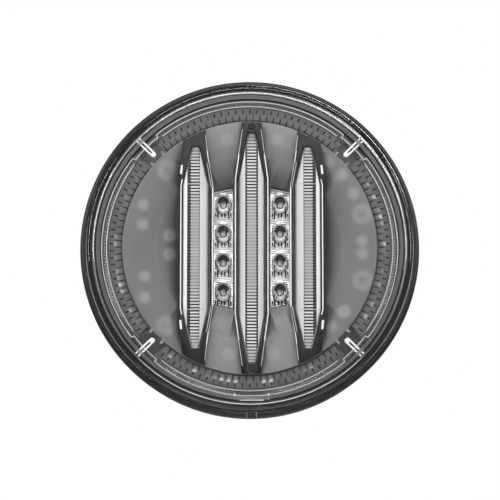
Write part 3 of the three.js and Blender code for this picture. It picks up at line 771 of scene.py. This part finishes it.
# The clips are painted bright white: painted highlights along their bows.
first_clip = clip()
for name, degrees in CLIP_DEGREES.items():
    copy = copy_placed(first_clip, f"clip_{name}", degrees)
    dress(copy, painted_bright_edge, "clip_clear", f"lens_clip_{name}")
bpy.data.objects.remove(first_clip, do_unlink=True)
print(len(CLIP_DEGREES), "clips, between radii of", CLIP_INNER_R, "and", CLIP_OUTER_R, "mm")

# %% [markdown]
# ## Light guides
#
# Three clear bars carry light up the middle of the lamp. Each has two smooth flanks and, sunk between
# them, a band of cross ribs that throws the light forward. One section is carried along the bar, four
# stations to a rib. The sunk floor moves back at two of them, and its walls bite in and out. Near the
# ends the ribs are cut deeper and painted black and white, as painted shade and painted highlights; in
# the middle they are fine lines. The flanks are painted bright as painted highlights.

# %% Light guides
RIB_PITCH = 1.13
STRAIGHT = {"left": 22.3, "centre": 24.7, "right": 22.3}
SIDE = {"left": -1, "centre": 0, "right": 1}
TIP_HALF = 1.1
# painted shade of a groove and painted light of a rib, each in the middle and near the ends
RIB_DARK = (0.47, 0.0)
RIB_LIGHT = (0.62, 1.0)
# places across the bar, from its middle: wall top, floor edge, floor edge, wall top
ACROSS = {"left": (-2.9, -1.75, 1.3, 1.5), "centre": (-2.25, -1.65, 1.65, 2.25),
          "right": (-1.5, -1.3, 1.75, 2.9)}


def guide(name):
    low, high = box_mm(f"light_guide_{name}")
    x, half_length, straight = BAR_X[name], high.z, STRAIGHT[name]
    half_width = (high.x - low.x) / 2
    ribs = int(2 * half_length / RIB_PITCH)
    shares = (0, 0.48, 0.58, 0.9)
    stations = [-half_length + (i + share) * 2 * half_length / ribs for i in range(ribs) for share in shares]
    loops, painted_shade_at = [], {}
    for i, z in enumerate(stations + [half_length]):
        groove = i % 4 >= 2
        taper = max(0.0, (abs(z) - straight) / (half_length - straight))
        edge = half_width + (TIP_HALF - half_width) * taper
        strong = min(1.0, max(0.0, (abs(z) - 13) / 8))
        weak_tip = min(1.0, max(0.0, (half_length - abs(z)) / 7))
        wall_left, floor_left, floor_right, wall_right = ACROSS[name]
        wall_left, wall_right = max(wall_left, -edge + 0.14), min(wall_right, edge - 0.14)
        floor_left, floor_right = max(floor_left, wall_left + 0.2), min(floor_right, wall_right - 0.2)
        top = low.y + 0.2
        shoulder = low.y + 2.4 - 1.4 * taper
        floor_y = low.y + 1.4 + (0.15 + 0.45 * strong * weak_tip) * groove
        flank = (shoulder + top) / 2 - 0.5
        bite = 0.14 * groove
        usual, full = RIB_DARK if groove else RIB_LIGHT
        rib = usual + (full - usual) * strong * weak_tip
        wall = 0.02 if groove else 0.1
        # Each point's third value is its painted light and shade: flanks and wall tops painted bright, groove
        # walls dark.
        section = [
            (-edge, high.y, 0.3), (-edge, shoulder, 0.42), (-edge + 0.3 * (edge + wall_left), flank, 0.7),
            (wall_left - 0.1, top, 0.85), (wall_left, top + 0.1, wall),
            (floor_left - 0.06 + bite, floor_y - 0.1, wall),
            (floor_left + bite, floor_y, rib), (floor_right - bite, floor_y, rib),
            (floor_right + 0.06 - bite, floor_y - 0.1, wall),
            (wall_right, top + 0.1, wall), (wall_right + 0.1, top, 0.85),
            (edge - 0.3 * (edge - wall_right), flank, 0.7), (edge, shoulder, 0.42), (edge, high.y, 0.3)]
        loops.append([(x + px, py, z) for px, py, _ in section])
        painted_shade_at.update({tuple(round(v * 100) for v in point): shade
                      for point, (_, _, shade) in zip(loops[-1], section)})
    bar = loft(f"guide_bar_{name}", loops, angle=28)
    return paint_light_and_shade(bar, lambda place: painted_shade_at.get(tuple(round(v * 100) for v in place), 0.6))


# Polished acrylic with sharp ribs; its milky share carries painted highlights on the flanks and painted shade
# in the grooves.
guide_clear = clear_finish("clear_pmma_light_guide", "ececec", 0.06, 1.49, 0.9, "000000", "f2f2f2")
for name in BAR_X:
    bar = guide(name)
    dress(bar, guide_clear, "guide_clear", f"light_guide_{name}")
    print("light guide", name, len(bar.data.vertices), "points")

# %% [markdown]
# ## Guide frames
#
# A dark tray holds each guide. A thin wall stands up all round it, its floor is open for the guide, and
# a skirt reaches back to the board. The section is carried round as one ring of outlines, then trimmed
# to the dish's circle.

# %% Guide frames
# front and rear of the tools that cut right through the frames and the dish
RIGHT_THROUGH = (-40, 0)
DISH_LOW, DISH_HIGH = box_mm("diffuser_dish")
DISH_R = DISH_HIGH.x
SCREW_Z = sum(box_mm("frame_screw_top")[i].z for i in (0, 1)) / 2
FRAME_WALL = 0.3
# half widths and heights of a tray's side, from the end of its straight part to its tip
OUTWARD = ((6.4, 22.6), (5.9, 29.3), (3.0, 48))
INWARD = ((6.4, 21.6), (4.9, 30.6), (2.9, 48))
MIDDLE = ((6.0, 24.7), (4.7, 34), (3.3, 48))
# shapes of the two sides of each tray, towards -X and +X
TRAY_SIDES = {"left": (OUTWARD, INWARD), "centre": (MIDDLE, MIDDLE), "right": (INWARD, OUTWARD)}


def tray_outline(name, inset):
    sides = []
    for hand, shape in zip((-1, 1), TRAY_SIDES[name]):
        half = [(BAR_X[name] + hand * (width - inset), z) for width, z in shape]
        sides.append([(px, -pz) for px, pz in reversed(half)] + half)
    return sides[1] + list(reversed(sides[0]))


def slot_outline(name, margin):
    end = box_mm(f"light_guide_{name}")[1].z + 0.3 + margin
    straight = STRAIGHT[name]
    half = [(5.1 + margin, straight), (3.3 + margin, (straight + end) / 2), (1.5 + margin, end)]
    side = [(px, -pz) for px, pz in reversed(half)] + half
    return [(BAR_X[name] + px, pz) for px, pz in side] + [(BAR_X[name] - px, pz) for px, pz in reversed(side)]


def guide_frame(name):
    low, high = box_mm(f"guide_frame_{name}")

    def ring(outline, y):
        return [(px, y, pz) for px, pz in outline]

    tray = loft(f"frame_{name}", [
        ring(tray_outline(name, 0), low.y + 0.8), ring(tray_outline(name, 0), low.y + 0.1),
        ring(tray_outline(name, 0.1), low.y), ring(tray_outline(name, FRAME_WALL - 0.08), low.y),
        ring(tray_outline(name, FRAME_WALL), low.y + 0.1), ring(tray_outline(name, FRAME_WALL), low.y + 0.5),
        ring(slot_outline(name, 0), low.y + 0.5), ring(slot_outline(name, 0), high.y),
        ring(slot_outline(name, 0.7), high.y), ring(slot_outline(name, 0.7), low.y + 0.8)], joined=True)
    cut(tray, disc("tool", 0, 0, DISH_R - 0.3, *RIGHT_THROUGH, 192), "INTERSECT")
    if name == "centre":
        for side in (-1, 1):
            cut(tray, disc("tool", BAR_X[name], side * SCREW_Z, 1, *RIGHT_THROUGH, 24))
    return tray


# Moulded in a spark eroded tool: a satin black without a clear highlight.
frame_black = plain_finish(
    "black_abs_satin", "0e0e0f", "121213", 0.7, grain_mm=0.6, grain_height=0.001, ior=1.54)
for name in BAR_X:
    guide_tray = guide_frame(name)
    dress(guide_tray, frame_black, "frame_dark", f"guide_frame_{name}")
    print("frame", name, len(guide_tray.data.vertices), "points")


def boss_ring(node):
    """The raised edge round a screw's recess."""
    low, high = box_mm(node)
    x, z, radius = (low.x + high.x) / 2, (low.z + high.z) / 2, (high.x - low.x) / 2
    turns = [2 * math.pi * i / 48 for i in range(48)]
    section = [(radius + 0.08, low.y - 0.15), (radius + 0.38, low.y - 0.15), (radius + 0.38, low.y + 0.6),
               (radius + 0.08, low.y + 0.6)]
    loops = [[(x + r * math.cos(t), y, z + r * math.sin(t)) for t in turns] for r, y in section]
    return loft("boss_ring", loops, joined=True)


bosses = join([boss_ring(f"frame_screw_{end}") for end in ("top", "bottom")])
bosses.name = "frame_boss_rings"
# The same dark plastic along a sharp raised edge, painted paler: a painted highlight on the edge.
boss_painted_highlight = plain_finish("dark_abs_boss_painted_highlight", "3c3c3d", "464647", 0.5)
dress(bosses, boss_painted_highlight, "frame_dark")

# %% [markdown]
# ## Rails beside the guides
#
# A thin clear rail lies in the tray along each long side of a guide and is painted as a white line, a painted
# highlight. Towards
# the inner side it parts into two finer edges that run on to the tip; on the outer side a short block
# follows it.

# %% Side rails
def strip(name, hand, places, width, front, rear):
    """A strip beside a bar through places (distance from the bar's middle, height)."""
    x = BAR_X[name]
    outer = [(x + hand * out, z) for out, z in places]
    inner = [(x + hand * (out - width), z) for out, z in reversed(places)]
    return plate("strip", outer + inner, front, rear)


def mirrored(places):
    """The places and their mirror image in height, as one run."""
    return [(out, -z) for out, z in reversed(places)] + list(places)


def both_ends(name, hand, places, width, front, rear):
    return [strip(name, hand, [(out, end * z) for out, z in places], width, front, rear) for end in (-1, 1)]


def rails(name):
    front = box_mm(f"guide_frame_{name}")[0].y
    place = (front - 0.1, front + 0.45)
    if name == "centre":
        made = []
        for hand in (-1, 1):
            made.append(strip(name, hand, mirrored([(5.98, 24.4), (4.75, 33.4)]), 0.36, *place))
            made += both_ends(name, hand, [(4.7, 33.4), (3.4, 42.5)], 0.14, *place)
    else:
        outward = SIDE[name]
        made = [strip(name, outward, mirrored([(5.4, 22.2), (4.95, 24.3)]), 0.36, *place),
                strip(name, -outward, [(6.35, -21.4), (6.35, 21.4)], 0.42, *place)]
        made += both_ends(name, outward, [(5.6, 26.3), (5.3, 29.5)], 0.7, *place)
        made += both_ends(name, -outward, [(6.35, 21.4), (4.85, 30.5)], 0.13, *place)
        made += both_ends(name, -outward, [(4.85, 30.5), (4.25, 34.8)], 0.3, *place)
        made += both_ends(name, -outward, [(4.25, 34.8), (3.6, 40.5)], 0.15, *place)
        made += both_ends(name, -outward, [(5.72, 21.4), (4.1, 30.5)], 0.13, *place)
    made = join(made)
    made.name = f"rails_{name}"
    return made


# The rails are painted bright: painted highlights.
for name in BAR_X:
    guide_rails = rails(name)
    dress(guide_rails, painted_bright_edge, "guide_clear")
    print("rails", name, len(guide_rails.data.vertices), "points")

# %% [markdown]
# ## Dish
#
# The dish is a smoked, half translucent moulding, a shallow turned bowl with slots for the bars. The
# parts on the board behind show through as soft pale spots, so the finish adds a soft spot in front of
# each of those parts. Towards the middle it is painted darker as painted shade, a thin painted highlight
# runs round the step, and painted light lifts the dish between the outer bars, where their trays shade it.

# %% Dish
WALL = 1.5
STEP_R = 33.4
STRIP_LEAN = 0.93
DISH_FLOOR = DISH_LOW.y + 1.5
dish = turn("dish_bowl", [
    (2, DISH_FLOOR), (STEP_R - 0.2, DISH_FLOOR), (STEP_R + 0.2, DISH_FLOOR - 0.15),
    (DISH_R - 0.3, DISH_LOW.y), *arc(DISH_R - 0.3, DISH_LOW.y + 0.3, 0.3, -90, 0, 4)[1:],
    (DISH_R, DISH_LOW.y + WALL), (STEP_R, DISH_FLOOR + WALL), (2, DISH_FLOOR + WALL)], joined=False)
for name in BAR_X:
    guide_length = box_mm(f"light_guide_{name}")[1].z
    cut(dish, plate("tool", boat(BAR_X[name], 6.1, STRAIGHT[name], 2.6, guide_length + 1.3), *RIGHT_THROUGH))
for name in ("left", "right"):
    low, high = box_mm(f"reflector_strip_{name}")
    inner, outer = (low.x - 0.4, high.x + 0.4) if name == "right" else (high.x + 0.4, low.x - 0.4)
    near, far = high.z + 0.25, high.z * STRIP_LEAN
    outline = [(inner, -near), (outer, -far), (outer, far), (inner, near)]
    cut(dish, plate("tool", outline, *RIGHT_THROUGH))
for side in (-1, 1):
    cut(dish, disc("tool", BAR_X["centre"], side * SCREW_Z, 1, *RIGHT_THROUGH, 24))

BOARD_PARTS = [f"ballast_resistor_{i}" for i in (1, 2, 3, 4)] + ["driver_transistor_1", "driver_transistor_2"]
BOARD_PARTS += ["input_diode_1", "input_diode_2", "smoothing_capacitor"]
# places of the smaller board parts that have no CAD body, x and z
SMALL_PARTS = [(-8.1, 39), (10, 39), (33.3, 26.3), (28.2, 31), (40.3, 2.3), (40.3, -2.4), (33.6, -23.1),
               (29.3, -28.5), (-7.4, -38.3), (8.6, -38.3), (-28.5, 4.4), (-28.5, -2.5)]


def smoked_finish(name):
    """Smoked plastic with a soft spot in front of each board part, a faint painted highlight at the step,
    painted shade towards the middle and painted light between the outer bars.
    """
    material, tree = new_material(name)
    place = add_node(tree, "TexCoord").outputs["Object"]
    flat = add_node(tree, "VectorMath", {0: place, 1: (1, 0, 1)}, operation="MULTIPLY").outputs["Vector"]

    def ramp(value, start, end, low, high):
        return add_node(tree, "MapRange", {
            "Value": value, "From Min": start, "From Max": end, "To Min": low, "To Max": high},
            interpolation_type="SMOOTHSTEP").outputs["Result"]

    def add(a, b):
        return add_node(tree, "Math", {0: a, 1: b}, operation="ADD").outputs["Value"]

    def distance(x, z):
        centre_mm = (x * MM, 0, z * MM)
        return add_node(tree, "VectorMath", {0: flat, 1: centre_mm}, operation="DISTANCE").outputs["Value"]

    centre = add_node(tree, "VectorMath", {0: flat}, operation="LENGTH").outputs["Value"]
    # Painted shade: darker towards the middle.
    level = ramp(centre, 18 * MM, 44 * MM, 0.36, 0.5)
    # Painted light: lighter between the outer bars, where their trays shade the dish.
    across = add_node(tree, "SeparateXYZ", {"Vector": place}).outputs["X"]
    aside = add_node(tree, "Math", {0: across}, operation="ABSOLUTE").outputs["Value"]
    level = add(level, ramp(aside, 14 * MM, 22 * MM, 0.26, 0))
    # A thin painted highlight round the step.
    line = ramp(add_node(tree, "Math", {0: centre, 1: STEP_R * MM}, operation="SUBTRACT").outputs["Value"],
                -0.45 * MM, 0, 0, 0.1)
    line_end = ramp(centre, STEP_R * MM, (STEP_R + 0.45) * MM, 0, -0.08)
    level = add(level, add(line, line_end))
    for node in BOARD_PARTS:
        low, high = box_mm(node)
        span = distance((low.x + high.x) / 2, (low.z + high.z) / 2)
        level = add(level, ramp(span, 0.6 * MM, 3.2 * MM, 0.5, 0))
    for x, z in SMALL_PARTS:
        level = add(level, ramp(distance(x, z), 0.6 * MM, 3.2 * MM, 0.42, 0))
    for x, z in BOARD_SCREWS:
        span = distance(x, z)
        level = add(level, ramp(span, 2.6 * MM, 4.6 * MM, 0.34, 0))
        level = add(level, ramp(span, 0.4 * MM, 2.4 * MM, -0.2, 0))
    colours = add_node(tree, "ValToRGB", {"Fac": level})
    colours.color_ramp.elements[0].color = linear("2c2c2c")
    colours.color_ramp.elements[1].color = linear("8f8f8f")
    shader = add_node(tree, "BsdfPrincipled", {
        "Base Color": colours.outputs["Color"], "Roughness": 0.45, "IOR": 1.586,
        "Normal": grain(tree, 1.0, 0.001)})
    finish_material(tree, shader.outputs["BSDF"])
    return material


dress(dish, smoked_finish("smoked_polycarbonate"), "dish_smoked", "diffuser_dish")
print("dish", len(dish.data.vertices), "points")

# %% [markdown]
# ## Reflector strips and LEDs
#
# Two vacuum metallised strips stand between the bars. Each has four eight-sided cups with wide
# chamfers and fine ribs between the cups; black sheets of painted shade stand for short slots under
# each cup and for a dark upper edge. A chamfer that leans by half the lamp's angle sends its light
# straight out, so the cups shine on their lower and side faces.

# %% Reflector strips
# Aluminium vapour on lacquered plastic: a mirror with a slight orange peel, which spreads its
# highlights. The peel is drawn at its real size of about 2 mm.
metallised = plain_finish(
    "vacuum_metallised_plastic", "f0f1f2", "f6f6f7", 0.34, metallic=1.0, grain_mm=2.0, grain_height=0.002)
LED_Z = [sum(corner.z for corner in box_mm(f"fog_led_left_{i}")) / 2 for i in (1, 2, 3, 4)]
LED_PITCH = abs(LED_Z[0] - LED_Z[1])


def octagon(x, z, radius, y, tall=1.25):
    turns = [math.radians(22.5 + 45 * i) for i in range(8)]
    return [(x + radius * math.cos(t), y, z + tall * radius * math.sin(t)) for t in turns]


def ribbed_face(x, low, high):
    """The strip's body: its front carries fine cross ribs, pressed into one outline."""
    half = (high.x - low.x) / 2
    count = 56
    outline = [(high.y, low.z), (high.y, high.z)]
    step = (high.z - low.z) / count
    for i in range(count):
        z = high.z - i * step
        outline += [(low.y + 0.9, z), (low.y + 0.65, z - 0.5 * step)]
    outline.append((low.y + 0.9, low.z))
    lean = {-1: 1.0, 1: STRIP_LEAN} if x > BAR_X["centre"] else {-1: STRIP_LEAN, 1: 1.0}
    loops = [[(x + side * half, y, z * lean[side]) for y, z in outline] for side in (-1, 1)]
    return loft("strip", loops, angle=15)


def reflector(name):
    low, high = box_mm(f"reflector_strip_{name}")
    x = (low.x + high.x) / 2
    body = ribbed_face(x, low, high)
    for z in LED_Z:
        cut(body, loft("tool", [octagon(x, z, 2.5, low.y - 1), octagon(x, z, 2.4, low.y + 1.7),
                                octagon(x, z, 1.75, high.y + 0.5)]))
    z = LED_Z[0]
    first = loft("cup", [
        octagon(x, z, 2.6, low.y + 1.5), octagon(x, z, 2.85, low.y + 1.2), octagon(x, z, 2.85, low.y + 0.12),
        octagon(x, z, 2.8, low.y + 0.08), octagon(x, z, 2.7, low.y + 0.08), octagon(x, z, 1.5, low.y + 0.47),
        octagon(x, z, 1.42, low.y + 1.4)], joined=True, angle=20)
    cups = [first] + [copy_placed(first, "cup", offset=(0, 0, other - z)) for other in LED_Z[1:]]
    return body, cups


# painted shade for the slots under a cup: distance from its middle, width and height
CUP_SLOTS = [(-2.7, 0.4, 1.0), (-1.95, 0.5, 2.2), (-0.55, 0.5, 1.4), (0.55, 0.5, 1.4), (1.95, 0.5, 2.2),
             (2.7, 0.4, 1.0)]


def half_octagon(x, z, inner, outer):
    turns = [math.radians(a) for a in (10, 45, 80, 100, 135, 170)]
    path = [(outer, t) for t in turns] + [(inner, t) for t in reversed(turns)]
    return [(x + r * math.cos(t), z + 1.25 * r * math.sin(t)) for r, t in path]


def slots(name):
    """Black sheets of painted shade: the dark upper edge and the short slots of each cup."""
    low, high = box_mm(f"reflector_strip_{name}")
    x = (low.x + high.x) / 2
    made = [plate("slot", rectangle(x + off, z - LED_PITCH / 2 + 1.3, wide, tall), low.y + 0.3, low.y + 0.8)
            for z in LED_Z for off, wide, tall in CUP_SLOTS]
    made += [plate("notch", rectangle(x + off, z - 1.45, 0.4, 0.75), low.y + 0.02, low.y + 0.5)
             for z in LED_Z for off in (-2.0, 2.0)]
    made += [plate("arc", half_octagon(x, z, 1.5, 2.15), low.y + 0.02, low.y + 0.5) for z in LED_Z]
    return join(made)


# Painted shade: dull black sheets stand for the shade in the slots and along each cup's upper edge.
painted_shade_black = plain_finish("black_painted_shade", "020202", "040404", 0.95)
for name in ("left", "right"):
    body, cups = reflector(name)
    whole_strip = join([body, *cups])
    whole_strip.name = f"reflector_{name}"
    dress(whole_strip, metallised, "reflector_metallised", f"reflector_strip_{name}")
    shadow_gaps = slots(name)
    shadow_gaps.name = f"reflector_slots_{name}"
    dress(shadow_gaps, painted_shade_black, "frame_dark")
    print("reflector strip", name, len(whole_strip.data.vertices), "points")

# %% [markdown]
# Each LED is a round package under a domed lens of clear silicone. The lens is a little taller than
# wide, so that it fills the eight-sided hole of its cup.

# %% Fog LEDs
LED_LENS_R = 1.3
LED_FOOT_R = 1.45
LED_TALL = 1.2


def led(node):
    low, high = box_mm(node)
    x, z = (low.x + high.x) / 2, (low.z + high.z) / 2
    turns = [2 * math.pi * i / 32 for i in range(32)]

    def ring(r, y):
        return [(x + r * math.cos(t), y, z + LED_TALL * r * math.sin(t)) for t in turns]

    rises = [math.radians(a) for a in range(0, 86, 12)]
    cap = [ring(LED_LENS_R * math.cos(a), low.y + LED_LENS_R * (1 - math.sin(a))) for a in rises]
    foot = [ring(LED_FOOT_R, high.y), ring(LED_FOOT_R, high.y - 0.9), ring(LED_LENS_R, high.y - 0.9)]
    body = loft(node + "_package", foot + cap)
    # Painted light and shade: darker towards the top of the dome, lighter at its sides and bottom.
    return paint_light_and_shade(body, lambda place: (
        0.55 - 0.3 * (place.z - z) / LED_LENS_R + 0.35 * abs(place.x - x) / LED_LENS_R))


def led_finish(name):
    """Grey package under a clear silicone dome, with painted shade towards the top and painted light at its
    sides and bottom.
    """
    material, tree = new_material(name)
    shader = add_node(tree, "BsdfPrincipled", {
        "Base Color": painted_light_colour(tree, "6a6a6a", "ffffff"), "Roughness": 0.3, "IOR": 1.41})
    finish_material(tree, shader.outputs["BSDF"])
    return material


package = led_finish("grey_led_package_painted_light")
LED_NODES = [f"fog_led_{side}_{i}" for side in ("left", "right") for i in (1, 2, 3, 4)]
first_led = led(LED_NODES[0])
leds = [first_led] + [
    copy_placed(first_led, node + "_package", offset=box_mm(node)[0] - box_mm(LED_NODES[0])[0])
    for node in LED_NODES[1:]]
for node, piece in zip(LED_NODES, leds):
    dress(piece, package, "led_silicone", node)
print(len(leds), "LEDs of", len(first_led.data.vertices), "points")

# %% [markdown]
# ## Inner and rear pieces
#
# These keep their CAD shapes and get their real finishes.

# %% Finishes for the CAD nodes that stay
# Plated in a bath after rolling: bright grey with a soft grain.
zinc = plain_finish(
    "zinc_plated_steel", "b4b7ba", "c2c5c8", 0.35, metallic=1.0, grain_mm=0.5, grain_height=0.005)
# Printed white lacquer over the copper: even, with a slight gloss.
board_mask = plain_finish("white_solder_mask", "e4e5e2", "eceded", 0.45, blotch_mm=3)
# Rolled sheet: plain grey metal, slightly dull.
aluminium = plain_finish("rolled_aluminium", "b0b3b6", "babdc0", 0.4, metallic=1.0)
# Fired and not glazed: pale and smooth.
ceramic = plain_finish("white_ceramic", "d8d8d2", "e2e2dc", 0.5)
# Pressed into a heated mould round the chip: black with a low gloss.
epoxy = plain_finish("black_epoxy", "1d1d1f", "242426", 0.5)
# Stamped from rolled strip: yellow metal with clear highlights.
brass = plain_finish("stamped_brass", "c0a860", "cbb46e", 0.3, metallic=1.0)
# Pressed in a heated mould: red with a soft sheen.
red_silicone = plain_finish("red_silicone", "a8452c", "b24c32", 0.6)
# Blackened in hot salts, then oiled: nearly black and dull.
black_screw = plain_finish("black_oxide_steel", "0a0a0b", "101011", 0.7)
# Yellow powder cast in silicone over the chips.
phosphor = plain_finish("led_phosphor", "e6dfb8", "eee8c6", 0.6)
repaint(zinc, *[f"board_screw_{i}" for i in (1, 2, 3, 4)], "mounting_stud_left", "mounting_stud_right",
        "flange_nut_left", "flange_nut_right")
repaint(board_mask, "circuit_board")
repaint(aluminium, "heat_spreader", "smoothing_capacitor")
repaint(ceramic, *[f"ballast_resistor_{i}" for i in (1, 2, 3, 4)])
repaint(epoxy, "driver_transistor_1", "driver_transistor_2", "input_diode_1", "input_diode_2")
repaint(brass, "terminal_live", "terminal_earth")
repaint(red_silicone, "inlet_seal")
repaint(black_abs, "inlet_shroud", "vent_plug")
repaint(black_rubber, "base_gasket")
repaint(black_screw, "frame_screw_top", "frame_screw_bottom")
repaint(phosphor, *[f"guide_led_row_{name}" for name in BAR_X])
